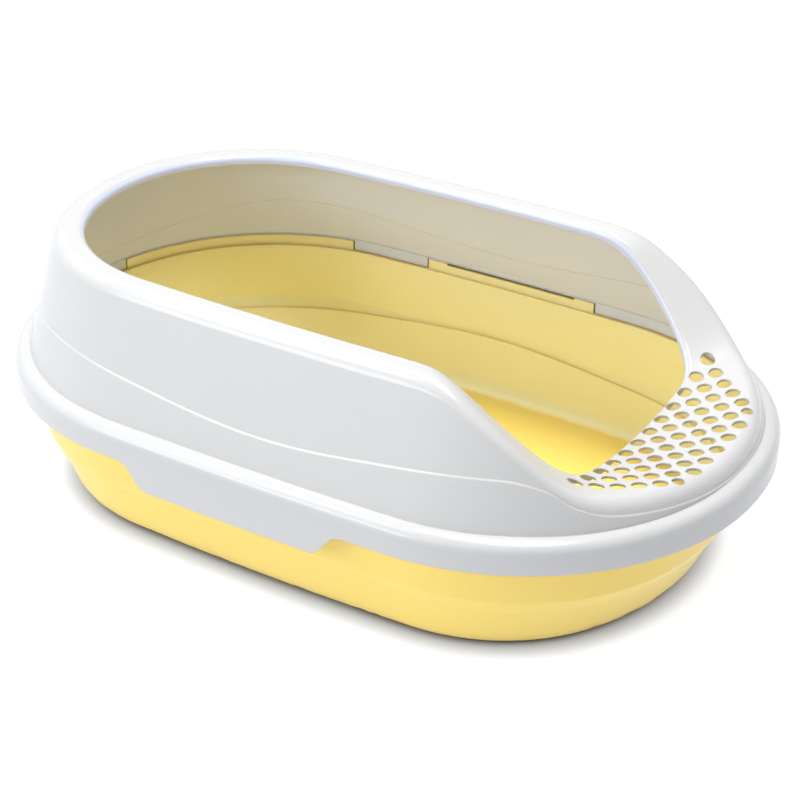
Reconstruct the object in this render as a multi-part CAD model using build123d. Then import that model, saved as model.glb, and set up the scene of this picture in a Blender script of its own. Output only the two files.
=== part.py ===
from build123d import *
import os
from math import atan2, cos, exp, hypot, log, pi, radians, sin, sqrt, tan

# Litter tray: a deep oval pan and a lift-off splash rim with a perforated entry step.
# The frame: +X points to the low entry, +Y is the left side, Z = 0 is the floor.
# All sizes are in millimetres.

# Overall outline, measured at the rim's shoulder
shoulder_half_length = 268.0
shoulder_half_width = 168.3
shoulder_height = 98.3
rim_wall = 1.8

# Bead and skirt below the shoulder
bead_reach = 11.9
bead_radius = 8.0
skirt_bottom = 77.4

# Side flaps that hang from the skirt at mid length
flap_centre = -8.0
flap_bottom_width = 138.0
flap_top_width = 168.0
flap_bottom = 60.0
flap_corner_radius = 10.0

# Leaning upper wall and its rolled lip
crown_height = 181.0
wall_lean_side = 20.1
wall_lean_end = 11.9
roll_radius = 11.0
roll_dip = 4.5
roll_dip_x = 180.0
roll_dip_span = 45.0
lip_radius = 4.0
lip_depth = 7.0

# Opening inside the lip, cut off straight at the entry
mouth_half_length = 229.5
mouth_half_width = 118.5
entry_x = 193.0
entry_corner_radius = 37.0

# Swoop from the high lip down to the entry step
swoop_start = 100.0
swoop_slope = 0.68
swoop_softness = 6.4
swoop_skew = 1.0
swoop_reference_y = 105.0
step_blend = 9.0

# Entry step: a shallow trough that rises outward and to both sides
step_height = 100.2
step_rise = 0.139
trough_curvature = 1.1e-3
trough_fade_y = 150.0

# Drain holes through the entry step
hole_diameter = 10.0
end_hole_diameter = 8.0
hole_pitch = 17.55
row_pitch = 10.3
first_row_offset = 6.8
first_row_count = 12
row_count = 6
end_hole_pull_in = 2.5

# Styling crease round the rim wall
crease_step = 0.9
crease_mid = 118.0
crease_corner = 130.2
crease_corner_x = 168.0
crease_back = 108.5
crease_front = 99.8

# Spacing of the sections that the rim wall is lofted through
station_fine = 4.5
station_growth = 0.15
station_coarse = 26.0
section_lead = 0.045
section_lead_span = 0.49

# Apron that closes the rim's inner wall down to the pan, notched where the pan's tabs stand
apron_bottom = 88.6
apron_top = 97.4
apron_proud = 0.15
apron_clearance = 1.2

# Shallow catch recess in the rim's inner wall, one each side
recess_centre = 1.8
recess_width = 62.5
recess_height = 5.0
recess_depth = 0.8

# Pan
pan_wall = 2.5
pan_floor = 2.5
pan_height = 88.2
pan_to_rim = 1.1
floor_half_length = 234.0
floor_half_width = 151.0
floor_edge_radius = 17.0
belly_half_length = 257.0
belly_half_width = 163.0
belly_height = 46.0
pan_step = 3.0
pan_step_mid = 45.4
pan_step_corner = 35.2
pan_step_corner_x = 155.0
pan_step_end = 47.0

# Outward flange of the pan, hidden inside the rim's skirt
flange_thickness = 2.5
flange_clearance = 0.6
flange_turn_down = 7.0

# Upstanding tabs that carry the rim
tab_seat_gap = 0.3
tab_reach = 1.2
side_tab_centre = 5.0
side_tab_width = 144.0
side_tab_horn = 16.5
side_tab_dip = 1.6
back_tab_x = -134.8
back_tab_gap = 77.6

# Roundness of the outlines: radii as multiples of the half width
shoulder_round = (17.8, 1.23, 0.957)
mouth_round = (25.0, 1.10, 0.97)
belly_round = (17.8, 1.30, 0.87)
floor_round = (13.0, 1.15, 0.82)

reach = 20.0


class Outline:
    """Oval of eight tangent arcs, symmetric about X and Y, with long sides almost straight."""

    def __init__(self, half_length, half_width, side_radius, end_radius, corner_radius):
        self.half_length = half_length
        self.half_width = half_width
        self.side_radius = side_radius
        self.end_radius = end_radius
        self.corner_radius = corner_radius

    def grown(self, by):
        """The parallel outline at a distance outward."""
        return Outline(
            self.half_length + by,
            self.half_width + by,
            self.side_radius + by,
            self.end_radius + by,
            self.corner_radius + by,
        )

    def corner_centre(self):
        """Centre of the corner arc that touches both the side arc and the end arc."""
        side_y = self.half_width - self.side_radius
        end_x = self.half_length - self.end_radius
        side_reach = self.side_radius - self.corner_radius
        end_reach = self.end_radius - self.corner_radius
        apart = hypot(end_x, side_y)
        along = (side_reach**2 - end_reach**2 + apart**2) / (2 * apart)
        across = sqrt(max(side_reach**2 - along**2, 0.0))
        ux = end_x / apart
        uy = -side_y / apart
        return ux * along + uy * across, side_y + uy * along - ux * across, end_x, side_y

    def face(self, z):
        """The filled outline at a height."""
        corner_x, corner_y, end_x, side_y = self.corner_centre()
        end_angle = atan2(corner_y, corner_x - end_x)
        side_angle = atan2(corner_y - side_y, corner_x)
        middle_angle = (end_angle + side_angle) / 2
        p_end = (end_x + self.end_radius * cos(end_angle), self.end_radius * sin(end_angle))
        p_side = (self.side_radius * cos(side_angle), side_y + self.side_radius * sin(side_angle))
        p_corner = (
            corner_x + self.corner_radius * cos(middle_angle),
            corner_y + self.corner_radius * sin(middle_angle),
        )

        def at(point, sx, sy):
            return Vector(point[0] * sx, point[1] * sy, z)

        tip = (self.half_length, 0.0)
        flank = (0.0, self.half_width)
        arcs = [
            ThreePointArc(at(p_end, 1, -1), at(tip, 1, 1), at(p_end, 1, 1)),
            ThreePointArc(at(p_end, 1, 1), at(p_corner, 1, 1), at(p_side, 1, 1)),
            ThreePointArc(at(p_side, 1, 1), at(flank, 1, 1), at(p_side, -1, 1)),
            ThreePointArc(at(p_side, -1, 1), at(p_corner, -1, 1), at(p_end, -1, 1)),
            ThreePointArc(at(p_end, -1, 1), at(tip, -1, 1), at(p_end, -1, -1)),
            ThreePointArc(at(p_end, -1, -1), at(p_corner, -1, -1), at(p_side, -1, -1)),
            ThreePointArc(at(p_side, -1, -1), at(flank, 1, -1), at(p_side, 1, -1)),
            ThreePointArc(at(p_side, 1, -1), at(p_corner, 1, -1), at(p_end, 1, -1)),
        ]
        return Face(Wire(arcs))

    def prism(self, bottom, top):
        """The outline extruded between two heights."""
        return extrude(self.face(bottom), amount=top - bottom, dir=(0, 0, 1))


def rounded(half_length, half_width, roundness):
    """Outline whose arc radii are multiples of its half width."""
    side, end, corner = roundness
    return Outline(half_length, half_width, side * half_width, end * half_width, corner * half_width)


SHOULDER = rounded(shoulder_half_length, shoulder_half_width, shoulder_round)
guide_height = crown_height + reach
guide_rise = guide_height - shoulder_height
GUIDE = rounded(
    shoulder_half_length - guide_rise * tan(radians(wall_lean_end)),
    shoulder_half_width - guide_rise * tan(radians(wall_lean_side)),
    mouth_round,
)
MOUTH = rounded(mouth_half_length, mouth_half_width, mouth_round)
BELLY = rounded(belly_half_length, belly_half_width, belly_round)
FLOOR = rounded(floor_half_length, floor_half_width, floor_round)


def softplus(value, softness):
    """Smooth ramp that is zero below 0 and follows the value above it."""
    ratio = value / softness
    if ratio > 30:
        return value
    return softness * log(1 + exp(ratio))


def deck_height(x, y):
    """Height of the rim's top surface: level crown, swoop, then the trough of the entry step."""
    side = sqrt(y * y + 400.0)
    along = x - swoop_skew * (side - swoop_reference_y)
    swoop = crown_height - swoop_slope * softplus(along - swoop_start, swoop_softness)
    trough = trough_curvature * y * y / sqrt(1 + (y / trough_fade_y) ** 4)
    step = step_height + step_rise * (x - entry_x) + trough
    return step + softplus(swoop - step, step_blend)


def smooth(share):
    """Soft rise from 0 to 1."""
    share = min(max(share, 0.0), 1.0)
    return share * share * (3 - 2 * share)


def crease_height(x):
    """Height of the styling crease, which waves up at the corners and runs down to the ends."""
    if abs(x) < crease_corner_x:
        return crease_mid + (crease_corner - crease_mid) * smooth(abs(x) / crease_corner_x)
    end = crease_front if x > 0 else crease_back
    share = (abs(x) - crease_corner_x) / (shoulder_half_length - crease_corner_x)
    return crease_corner + (end - crease_corner) * smooth(share)


def mouth_face():
    """The opening inside the lip, cut off straight at the entry with rounded corners."""
    far = 2 * shoulder_half_length
    face = MOUTH.face(0) & Pos(entry_x - far / 2, 0, 0) * Rectangle(far, far)
    corners = face.vertices().filter_by(lambda v: abs(v.X - entry_x) < 0.1)
    return fillet(corners, entry_corner_radius)


def upper_rail(face):
    """Edge of a face on the +Y side, running from the entry end to the back end."""
    far = 2 * shoulder_half_length
    half = face & Pos(0, far / 2, 0) * Rectangle(2 * far, far)
    edges = half.edges().filter_by(lambda e: e.center().Y > 0.1)
    rail = Wire(edges)
    if rail.position_at(0).X > 0:
        return rail
    return Wire(edges).reversed()


SHOULDER_RAIL = upper_rail(SHOULDER.face(0))
GUIDE_RAIL = upper_rail(GUIDE.face(0))
MOUTH_RAIL = upper_rail(mouth_face())


def shoulder_share(mouth_share):
    """Place on the shoulder that faces a place on the mouth; it runs ahead past the entry corner."""
    place = abs(mouth_share)
    if place < section_lead_span:
        place += section_lead * sin(pi * place / section_lead_span) ** 2
    return place if mouth_share > 0 else -place


def mouth_corner_share():
    """Place of the rounded entry corner on the mouth."""
    straight, bend = MOUTH_RAIL.edges()[:2]
    return (straight.length + bend.length / 2) / MOUTH_RAIL.length


def rail_at(rail, share):
    """Point on a rail and its inward normal; past its ends the rail is mirrored across the XZ plane."""
    folded = abs(share) if share < 1 else 2 - share
    side = 1 if 0 <= share <= 1 else -1
    point = rail.position_at(folded)
    tangent = rail.tangent_at(folded)
    return Vector(point.X, side * point.Y), Vector(-tangent.Y, side * tangent.X)


def rounding(before, corner, after, radius):
    """Curve that rounds a corner between two directions."""
    start = (corner - before).normalized()
    end = (after - corner).normalized()
    turn = radians(start.get_angle(end))
    back = radius * tan(turn / 2)
    handle = radius * tan(turn / 4) * 4 / 3
    p = corner - start * back
    q = corner + end * back
    return Bezier(p, p + start * handle, q - end * handle, q), p, q


def skin(mouth_share, inset):
    """One section of the rim's skin in an upright plane: band, crease, wall, roll, deck and lip."""
    foot, foot_normal = rail_at(SHOULDER_RAIL, shoulder_share(mouth_share))
    guide, _ = rail_at(GUIDE_RAIL, shoulder_share(mouth_share))
    mouth, mouth_normal = rail_at(MOUTH_RAIL, mouth_share)
    across = (mouth - foot).normalized()
    foot_slant = across.dot(foot_normal)
    lean = (guide - foot).dot(foot_normal) / guide_rise
    lip = mouth - across * (inset / across.dot(mouth_normal))
    up = Vector(0, 0, 1)

    def wall(z, grow):
        run = lean * (z - shoulder_height) + inset - grow
        return foot + across * (run / foot_slant) + up * z

    low = shoulder_height
    high = guide_height
    for _ in range(24):
        middle = (low + high) / 2
        point = wall(middle, 0)
        if deck_height(point.X, point.Y) - inset > middle:
            low = middle
        else:
            high = middle
    corner = wall(high, 0)
    start = corner - up * high

    def deck(share):
        place = start + (lip - start) * share
        return place + up * (deck_height(place.X, place.Y) - inset)

    edge = deck(1)
    radius = roll_radius - roll_dip * exp(-(((corner.X - roll_dip_x) / roll_dip_span) ** 2)) - inset
    roll, wall_end, deck_start = rounding(wall(shoulder_height, 0), corner, deck(0.04), radius)
    nose, deck_end, drop_start = rounding(deck(0.96), edge, edge - up, lip_radius - inset)
    third = (deck_end - deck_start).length / 3
    leave = (deck(0.04) - corner).normalized() * third
    arrive = (edge - deck(0.96)).normalized() * third
    crease = min(crease_height(corner.X), wall_end.Z - 2 * crease_step)
    band_top = wall(crease, crease_step)
    wall_start = wall(crease + crease_step, 0)
    bottom = wall(shoulder_height - 2 * rim_wall, crease_step)
    tip = lip + up * (deck_height(mouth.X, mouth.Y) - lip_depth)
    return [
        Line(bottom, band_top),
        Line(band_top, wall_start),
        Line(wall_start, wall_end),
        roll,
        Bezier(deck_start, deck_start + leave, deck_end - arrive, deck_end),
        nose,
        Line(drop_start, tip),
    ]


def rim_section(mouth_share):
    """Closed section through the rim's wall, roll and lip."""
    outer = skin(mouth_share, 0.0)
    inner = skin(mouth_share, rim_wall)
    closing = [Line(outer[-1] @ 1, inner[-1] @ 1), Line(inner[0] @ 0, outer[0] @ 0)]
    edges = []
    for curve in outer + inner + closing:
        edges.extend(curve.edges())
    return Wire(edges)


def spread(length):
    """Distances from the entry corner, close together at first, that end at a length."""
    places = [0.0]
    while places[-1] < length:
        places.append(places[-1] + min(station_fine + station_growth * places[-1], station_coarse))
    return [place * length / places[-1] for place in places]


def rim_wall_ring():
    """Leaning wall, roll, deck and lip, lofted through sections round one half and mirrored."""
    total = MOUTH_RAIL.length
    corner = mouth_corner_share()
    front = [corner - place / total for place in spread(corner * total)]
    back = [corner + place / total for place in spread((1 - corner) * total)]
    front.append(-front[-2])
    back.append(2 - back[-2])
    far = 2 * shoulder_half_length
    upper = Pos(0, far / 2, 0) * Box(2 * far, far, 2 * far)
    entry = Solid.make_loft([rim_section(share) for share in reversed(front)]) & upper
    rest = Solid.make_loft([rim_section(share) for share in back]) & upper
    half = entry + rest
    return half + mirror(half, about=Plane.XZ)


def side_profile_prism(points, bottom):
    """Solid below a smooth wavy line seen from the side, running right across the tray."""
    crest = Spline(*[Vector(x, 0, z) for x, z in points])
    first = points[0][0]
    last = points[-1][0]
    sides = Polyline((last, 0, points[-1][1]), (last, 0, bottom), (first, 0, bottom), (first, 0, points[0][1]))
    width = 2 * (shoulder_half_width + bead_reach + reach)
    profile = Face(Wire([crest] + list(sides.edges())))
    return Pos(0, -width / 2, 0) * extrude(profile, amount=width, dir=(0, 1, 0))


def below_pan_step(raised):
    """Solid below the soft step that waves round the pan wall."""
    ends = shoulder_half_length + bead_reach
    points = [
        (-ends, pan_step_end + raised),
        (-pan_step_corner_x, pan_step_corner + raised),
        (0.0, pan_step_mid + raised),
        (pan_step_corner_x, pan_step_corner + raised),
        (ends, pan_step_end + raised),
    ]
    return side_profile_prism(points, -reach)


def bead(inset):
    """Solid bead and skirt below the shoulder, its top edge rounded over."""
    body = SHOULDER.grown(bead_reach - inset).prism(skirt_bottom, shoulder_height - inset)
    top = body.faces().sort_by(Axis.Z)[-1]
    return fillet(top.edges(), bead_radius - inset)


def side_flaps():
    """Flaps that carry the skirt lower at mid length on both long sides."""
    top = skirt_bottom + flap_corner_radius
    outer = SHOULDER.grown(bead_reach).prism(flap_bottom, top)
    inner = SHOULDER.grown(bead_reach - rim_wall).prism(flap_bottom, top)
    half_top = flap_top_width / 2
    half_bottom = flap_bottom_width / 2
    corners = [
        (flap_centre - half_top - reach, 0, skirt_bottom),
        (flap_centre - half_top, 0, skirt_bottom),
        (flap_centre - half_bottom, 0, flap_bottom),
        (flap_centre + half_bottom, 0, flap_bottom),
        (flap_centre + half_top, 0, skirt_bottom),
        (flap_centre + half_top + reach, 0, skirt_bottom),
    ]
    edge = FilletPolyline(*corners, radius=flap_corner_radius)
    start = edge @ 0
    end = edge @ 1
    rest = Polyline(end, (end.X, 0, top), (start.X, 0, top), start)
    profile = Face(Wire(list(edge.edges()) + list(rest.edges())))
    width = 2 * (shoulder_half_width + bead_reach + reach)
    curtain = Pos(0, -width / 2, 0) * extrude(profile, amount=width, dir=(0, 1, 0))
    middle = Box(4 * shoulder_half_length, 2 * (shoulder_half_width - bead_reach), 4 * crown_height)
    return ((outer - inner) & curtain) - middle


def drain_holes():
    """Staggered rows of round holes, each row one hole shorter than the last."""
    drills = []
    for row in range(row_count):
        count = first_row_count - row
        x = entry_x + first_row_offset + row * row_pitch
        for i in range(count):
            y = (i - (count - 1) / 2) * hole_pitch
            last_end = row == row_count - 1 and i in (0, count - 1)
            diameter = end_hole_diameter if last_end else hole_diameter
            pull = end_hole_pull_in if last_end else 0.0
            drills.append(Pos(x - pull, y, shoulder_height) * Cylinder(diameter / 2, crown_height))
    return drills


def recess_pockets():
    """Shallow pockets low on the inner face of both long walls."""
    bottom = shoulder_height - rim_wall
    inner_y = shoulder_half_width - rim_wall
    pockets = []
    for side in (-1, 1):
        y = side * (inner_y + recess_depth - reach / 2)
        place = Pos(recess_centre, y, bottom + recess_height / 2)
        pockets.append(place * Box(recess_width, reach, recess_height))
    return pockets


def ring(outer, inner, bottom, top):
    """Upright wall between two outlines."""
    return outer.prism(bottom, top) - inner.prism(bottom, top)


def block(x0, x1, y0, y1, z0, z1):
    """Box between two opposite corners."""
    centre = Pos((x0 + x1) / 2, (y0 + y1) / 2, (z0 + z1) / 2)
    return centre * Box(x1 - x0, y1 - y0, z1 - z0)


def tab_zones(margin, bottom, top):
    """Boxes round the tabs at the back corners and at the middle of each long side."""
    far = shoulder_half_length + bead_reach
    left = side_tab_centre - side_tab_width / 2 - margin
    right = side_tab_centre + side_tab_width / 2 + margin
    near = back_tab_gap / 2 - margin
    back = back_tab_x + margin
    return [
        block(-far, back, near, far, bottom, top),
        block(-far, back, -far, -near, bottom, top),
        block(left, right, 0, far, bottom, top),
        block(left, right, -far, 0, bottom, top),
    ]


def apron():
    """Upright band below the inner wall, notched for the tabs."""
    outer = SHOULDER.grown(crease_step)
    inner = SHOULDER.grown(crease_step - rim_wall - apron_proud)
    band = ring(outer, inner, apron_bottom, apron_top)
    for zone in tab_zones(apron_clearance, 0, shoulder_height - rim_wall):
        band -= zone
    return band


def make_rim():
    """Splash rim: bead, skirt, flaps, creased wall, rolled lip and perforated entry step."""
    throat = SHOULDER.grown(crease_step - rim_wall / 2).prism(0, crown_height)
    under_bead = bead(rim_wall) + SHOULDER.grown(bead_reach - rim_wall).prism(0, skirt_bottom)
    rim = rim_wall_ring() + (bead(0.0) - throat)
    rim -= under_bead
    rim += side_flaps()
    rim += apron()
    rim -= recess_pockets()
    return rim - drain_holes()


PAN_TOP = SHOULDER.grown(-pan_to_rim)


def pan_hull(grow, step, bottom):
    """Tapered solid of the pan through its floor, belly and top outlines."""
    sections = [
        FLOOR.grown(grow).face(bottom),
        BELLY.grown(grow - step).face(belly_height),
        PAN_TOP.grown(grow - step).face(pan_height),
    ]
    return loft(sections, ruled=True)


def pan_solid(inset, bottom):
    """Pan hull with a rounded floor edge and the fuller upper wall above the step."""
    lower = pan_hull(-inset, pan_step, bottom)
    lower = fillet(lower.faces().sort_by(Axis.Z)[0].edges(), floor_edge_radius - inset)
    upper = pan_hull(-inset, 0.0, bottom) - below_pan_step(inset)
    return lower + upper


def pan_tabs():
    """Upstanding tabs that carry the rim, the side ones with a shallow dip between two horns."""
    root = pan_height - pan_floor
    tip = shoulder_height - rim_wall - tab_seat_gap
    wall = ring(SHOULDER.grown(tab_reach), SHOULDER.grown(tab_reach - pan_wall), root, tip)
    far = shoulder_half_length + bead_reach
    half_dip = side_tab_width / 2 - side_tab_horn
    dip = block(side_tab_centre - half_dip, side_tab_centre + half_dip, -far, far, tip - side_tab_dip, tip)
    return [(wall & zone) - dip for zone in tab_zones(0, root, tip)]


def pan_flange():
    """Outward flange with a turned-down edge, which the skirt slides over."""
    edge = SHOULDER.grown(bead_reach - rim_wall - flange_clearance)
    plate = ring(edge, PAN_TOP.grown(-pan_wall / 2), pan_height - flange_thickness, pan_height)
    turned = ring(edge, edge.grown(-flange_thickness), pan_height - flange_turn_down, pan_height)
    return plate + turned


def make_pan():
    """Oval pan with a stepped, tapered wall."""
    shell = pan_solid(0.0, 0.0) - pan_solid(pan_wall, pan_floor)
    shell += pan_flange()
    for tab in pan_tabs():
        shell += tab
    return shell


os.makedirs("parts", exist_ok=True)
export_step(make_pan(), "parts/pan.step")
export_step(make_rim(), "parts/rim.step")
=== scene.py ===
from math import cos, radians, sin

import bpy
from mathutils import Matrix, Vector

# The litter tray on a pale floor, seen from the photograph's viewpoint. All sizes are in metres.

# Camera, solved from the photograph
CAMERA_PLACE = Vector((0.6728, -1.0517, 0.7608))
CAMERA_HEADING = radians(122.15)
CAMERA_PITCH = radians(-29.0)
CAMERA_ROLL = radians(0.344)
CAMERA_LENS = 90.96
SENSOR_WIDTH = 36.0

# Light of the room, brightest towards one side
ROOM_COLOR = (0.985, 0.99, 1.0, 1.0)
ROOM_DARKEST = 0.12
ROOM_BRIGHTEST = 0.72
ROOM_BRIGHT_SIDE = (-0.86, 0.1, 0.5)

# Lamps, all aimed at the tray's middle: name, place, size, power and colour
CENTRE = (0.0, 0.0, 0.09)
LAMPS = (
    ("key", (-1.1, -0.9, 1.9), (0.6, 1.2), 7.0, (1.0, 1.0, 1.0)),
    ("fill", (-1.1, -2.1, 1.05), (1.6, 0.8), 19.0, (0.92, 0.965, 1.0)),
    ("top", (0.1, 0.1, 2.2), (1.2, 0.5), 44.0, (1.0, 1.0, 1.0)),
)

# Floor; its own glow fades out close to the tray, which paints a contact shadow there
FLOOR_SIZE = 14.0
FLOOR_DROP = 0.0002
FLOOR_COLOR = (0.2, 0.205, 0.22, 1.0)
FLOOR_ROUGHNESS = 0.6
GLOW_COLOR = (0.94, 0.96, 1.0, 1.0)
GLOW_STRENGTH = 0.92
CONTACT_REACH = 0.025
CONTACT_DARK = 0.12
CONTACT_CLEAR = 0.72

# Plastic; each noise is a scale and a detail
CLOUD_NOISE = (9.0, 3.0)
GRAIN_NOISE = (60.0, 4.0)
RIPPLE_NOISE = (26.0, 1.0)
RIPPLE_STRENGTH = 0.05
RIPPLE_HEIGHT = 0.001
GLOSS_SPREAD = 0.15
EDGE_RADIUS = 0.0012
EDGE_SAMPLES = 4
PLASTIC_IOR = 1.49
SCATTER_DEPTH = 0.005

# Stretches the tray's oval towards a circle, so that "away from the middle" follows its walls;
# the faces found turned inwards get the painted light colours
OVAL_STRETCH = (1.0, 2.2, 0.0)
FACING_INWARDS = -0.75
FACING_OUTWARDS = -0.5


def new_material(name):
    """A node material, with its nodes and its links."""
    material = bpy.data.materials.new(name)
    material.use_nodes = True
    return material, material.node_tree.nodes, material.node_tree.links


def add_noise(nodes, links, place, settings):
    """Noise in the object's own coordinates."""
    noise = nodes.new("ShaderNodeTexNoise")
    noise.inputs["Scale"].default_value = settings[0]
    noise.inputs["Detail"].default_value = settings[1]
    links.new(place.outputs["Object"], noise.inputs["Vector"])
    return noise.outputs["Fac"]


def add_range(nodes, links, source, low, high, start=0.0, end=1.0):
    """Maps a value from start and end onto low and high."""
    mapped = nodes.new("ShaderNodeMapRange")
    mapped.inputs["From Min"].default_value = start
    mapped.inputs["From Max"].default_value = end
    mapped.inputs["To Min"].default_value = low
    mapped.inputs["To Max"].default_value = high
    links.new(source, mapped.inputs["Value"])
    return mapped.outputs["Result"]


def add_mix(nodes, links, factor, first, second):
    """Blends two colours; either one may be another node's output."""
    mix = nodes.new("ShaderNodeMix")
    mix.data_type = "RGBA"
    links.new(factor, mix.inputs["Factor"])
    for name, value in (("A", first), ("B", second)):
        if isinstance(value, tuple):
            mix.inputs[name].default_value = (*value, 1.0)
        else:
            links.new(value, mix.inputs[name])
    return mix.outputs["Result"]


def add_vector(nodes, links, operation, first, second=None):
    """Vector arithmetic on one or two sources; a tuple is taken as a constant."""
    node = nodes.new("ShaderNodeVectorMath")
    node.operation = operation
    for place, value in enumerate((first, second)):
        if isinstance(value, tuple):
            node.inputs[place].default_value = value
        elif value is not None:
            links.new(value, node.inputs[place])
    return node.outputs


def add_outwardness(nodes, links, place):
    """0 on faces turned squarely towards the tray's middle and 1 on all others."""
    flat = add_vector(nodes, links, "MULTIPLY", place.outputs["Object"], OVAL_STRETCH)["Vector"]
    away = add_vector(nodes, links, "NORMALIZE", flat)["Vector"]
    facing = add_vector(nodes, links, "DOT_PRODUCT", away, place.outputs["Normal"])["Value"]
    return add_range(nodes, links, facing, 0.0, 1.0, FACING_INWARDS, FACING_OUTWARDS)


def moulded_plastic(name, inner_painted_light, outer, depth, roughness, scatter, radius):
    """Plastic with faint flow clouds, an uneven gloss, a soft ripple and softened edges.

    The faces turned inwards take a colour of their own, chosen to look right in this light: it
    is painted light and shade, not a second colour of the plastic.
    """
    material, nodes, links = new_material(name)
    shader = nodes["Principled BSDF"]
    place = nodes.new("ShaderNodeTexCoord")
    # Painted light: the inward faces get the inner colour, which stands in for the light and
    # shade inside the tray
    painted_light_side = add_outwardness(nodes, links, place)
    base = add_mix(nodes, links, painted_light_side, inner_painted_light, outer)
    deep = add_vector(nodes, links, "MULTIPLY", base, depth)["Vector"]
    clouds = add_noise(nodes, links, place, CLOUD_NOISE)
    color = add_mix(nodes, links, clouds, deep, base)
    links.new(color, shader.inputs["Base Color"])
    grain = add_noise(nodes, links, place, GRAIN_NOISE)
    glossy = roughness * (1.0 - GLOSS_SPREAD)
    matt = roughness * (1.0 + GLOSS_SPREAD)
    links.new(add_range(nodes, links, grain, glossy, matt), shader.inputs["Roughness"])
    edge = nodes.new("ShaderNodeBevel")
    edge.samples = EDGE_SAMPLES
    edge.inputs["Radius"].default_value = EDGE_RADIUS
    bump = nodes.new("ShaderNodeBump")
    bump.inputs["Strength"].default_value = RIPPLE_STRENGTH
    bump.inputs["Distance"].default_value = RIPPLE_HEIGHT
    links.new(edge.outputs["Normal"], bump.inputs["Normal"])
    links.new(add_noise(nodes, links, place, RIPPLE_NOISE), bump.inputs["Height"])
    links.new(bump.outputs["Normal"], shader.inputs["Normal"])
    shader.inputs["IOR"].default_value = PLASTIC_IOR
    shader.inputs["Subsurface Weight"].default_value = scatter
    shader.inputs["Subsurface Radius"].default_value = radius
    shader.inputs["Subsurface Scale"].default_value = SCATTER_DEPTH
    return material


def put_material(piece, material):
    """Gives the piece one material in place of what it has."""
    piece.data.materials.clear()
    piece.data.materials.append(material)


def add_floor():
    """A wide pale floor that glows, with a painted contact shadow: a dark line where the tray
    meets it.
    """
    bpy.ops.mesh.primitive_plane_add(size=FLOOR_SIZE, location=(0.0, 0.0, -FLOOR_DROP))
    floor = bpy.context.object
    floor.name = "floor"
    material, nodes, links = new_material("pale_floor")
    shader = nodes["Principled BSDF"]
    shader.inputs["Base Color"].default_value = FLOOR_COLOR
    shader.inputs["Roughness"].default_value = FLOOR_ROUGHNESS
    shader.inputs["Emission Color"].default_value = GLOW_COLOR
    # Painted shadow: ambient occlusion dims the floor's glow next to the tray
    corner = nodes.new("ShaderNodeAmbientOcclusion")
    corner.inputs["Distance"].default_value = CONTACT_REACH
    openness = corner.outputs["AO"]
    glow = add_range(nodes, links, openness, 0.0, GLOW_STRENGTH, CONTACT_DARK, CONTACT_CLEAR)
    links.new(glow, shader.inputs["Emission Strength"])
    put_material(floor, material)


def add_lamp(name, place, size, power, color):
    """A soft rectangular lamp aimed at the tray's middle."""
    light = bpy.data.lights.new(name, "AREA")
    light.shape = "RECTANGLE"
    light.size = size[0]
    light.size_y = size[1]
    light.energy = power
    light.color = color
    lamp = bpy.data.objects.new(name, light)
    bpy.context.scene.collection.objects.link(lamp)
    lamp.location = place
    lamp.rotation_euler = (Vector(CENTRE) - Vector(place)).to_track_quat("-Z", "Y").to_euler()


def add_room():
    """A pale room that is brighter on one side."""
    world = bpy.data.worlds.new("studio")
    world.use_nodes = True
    nodes = world.node_tree.nodes
    links = world.node_tree.links
    sky = nodes["Background"]
    sky.inputs["Color"].default_value = ROOM_COLOR
    view = nodes.new("ShaderNodeTexCoord").outputs["Generated"]
    facing = add_vector(nodes, links, "DOT_PRODUCT", view, ROOM_BRIGHT_SIDE)["Value"]
    strength = add_range(nodes, links, facing, ROOM_DARKEST, ROOM_BRIGHTEST, -1.0, 1.0)
    links.new(strength, sky.inputs["Strength"])
    bpy.context.scene.world = world


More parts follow.
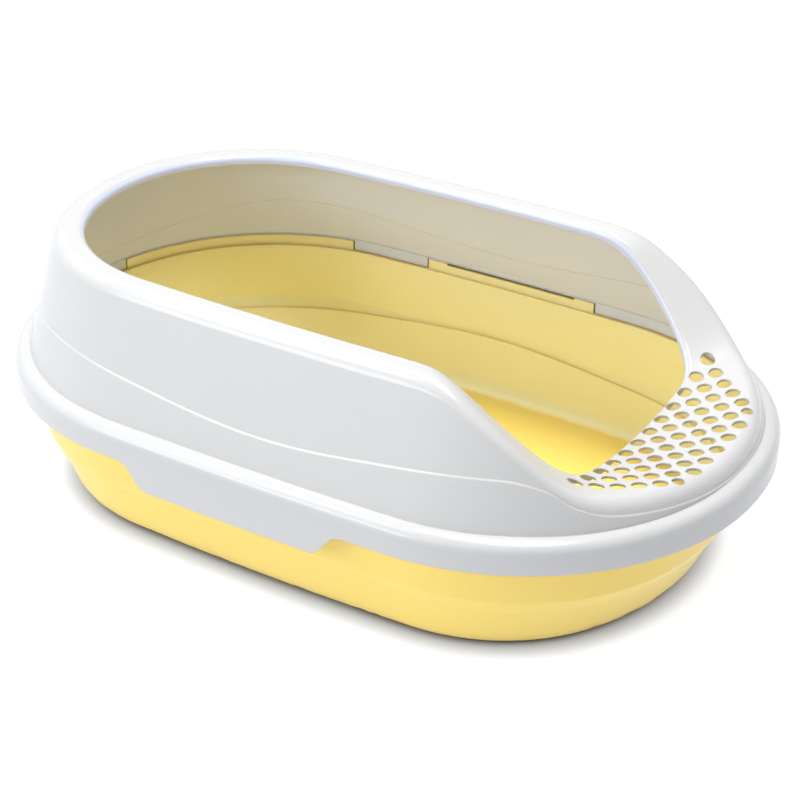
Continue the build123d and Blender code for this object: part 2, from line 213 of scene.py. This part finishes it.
def add_camera():
    """The photograph's camera."""
    ahead = Vector(
        (
            cos(CAMERA_PITCH) * cos(CAMERA_HEADING),
            cos(CAMERA_PITCH) * sin(CAMERA_HEADING),
            sin(CAMERA_PITCH),
        )
    )
    level = ahead.cross(Vector((0.0, 0.0, 1.0))).normalized()
    above = level.cross(ahead)
    right = level * cos(CAMERA_ROLL) + above * sin(CAMERA_ROLL)
    up = above * cos(CAMERA_ROLL) - level * sin(CAMERA_ROLL)
    turn = Matrix((right, up, -ahead)).transposed()
    data = bpy.data.cameras.new("camera")
    data.lens = CAMERA_LENS
    data.sensor_width = SENSOR_WIDTH
    camera = bpy.data.objects.new("camera", data)
    bpy.context.scene.collection.objects.link(camera)
    camera.matrix_world = Matrix.Translation(CAMERA_PLACE) @ turn.to_4x4()
    bpy.context.scene.camera = camera


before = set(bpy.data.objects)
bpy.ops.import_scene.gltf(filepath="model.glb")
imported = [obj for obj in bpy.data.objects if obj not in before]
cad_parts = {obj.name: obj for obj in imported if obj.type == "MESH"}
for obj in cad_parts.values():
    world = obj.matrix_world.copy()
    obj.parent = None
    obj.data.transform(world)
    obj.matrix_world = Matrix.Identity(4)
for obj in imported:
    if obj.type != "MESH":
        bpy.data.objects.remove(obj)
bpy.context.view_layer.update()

bpy.context.scene.view_settings.view_transform = "Standard"
add_camera()
add_room()
for lamp_settings in LAMPS:
    add_lamp(*lamp_settings)
add_floor()

yellow = moulded_plastic(
    "yellow_plastic",
    # Painted light: this paler inner yellow stands in for extra light inside the pan
    inner_painted_light=(0.985, 0.92, 0.57),
    outer=(0.95, 0.71, 0.175),
    depth=(0.985, 0.97, 0.92),
    roughness=0.32,
    scatter=0.3,
    radius=(1.0, 0.8, 0.3),
)
white = moulded_plastic(
    "white_plastic",
    # Painted shade: this bluish inner white stands in for the cool shade on the rim's inner wall
    inner_painted_light=(0.65, 0.72, 1.0),
    outer=(0.6, 0.598, 0.596),
    depth=(0.975, 0.98, 0.985),
    roughness=0.2,
    scatter=0.1,
    radius=(1.0, 1.0, 1.0),
)
put_material(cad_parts["pan"], yellow)
put_material(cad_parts["rim"], white)
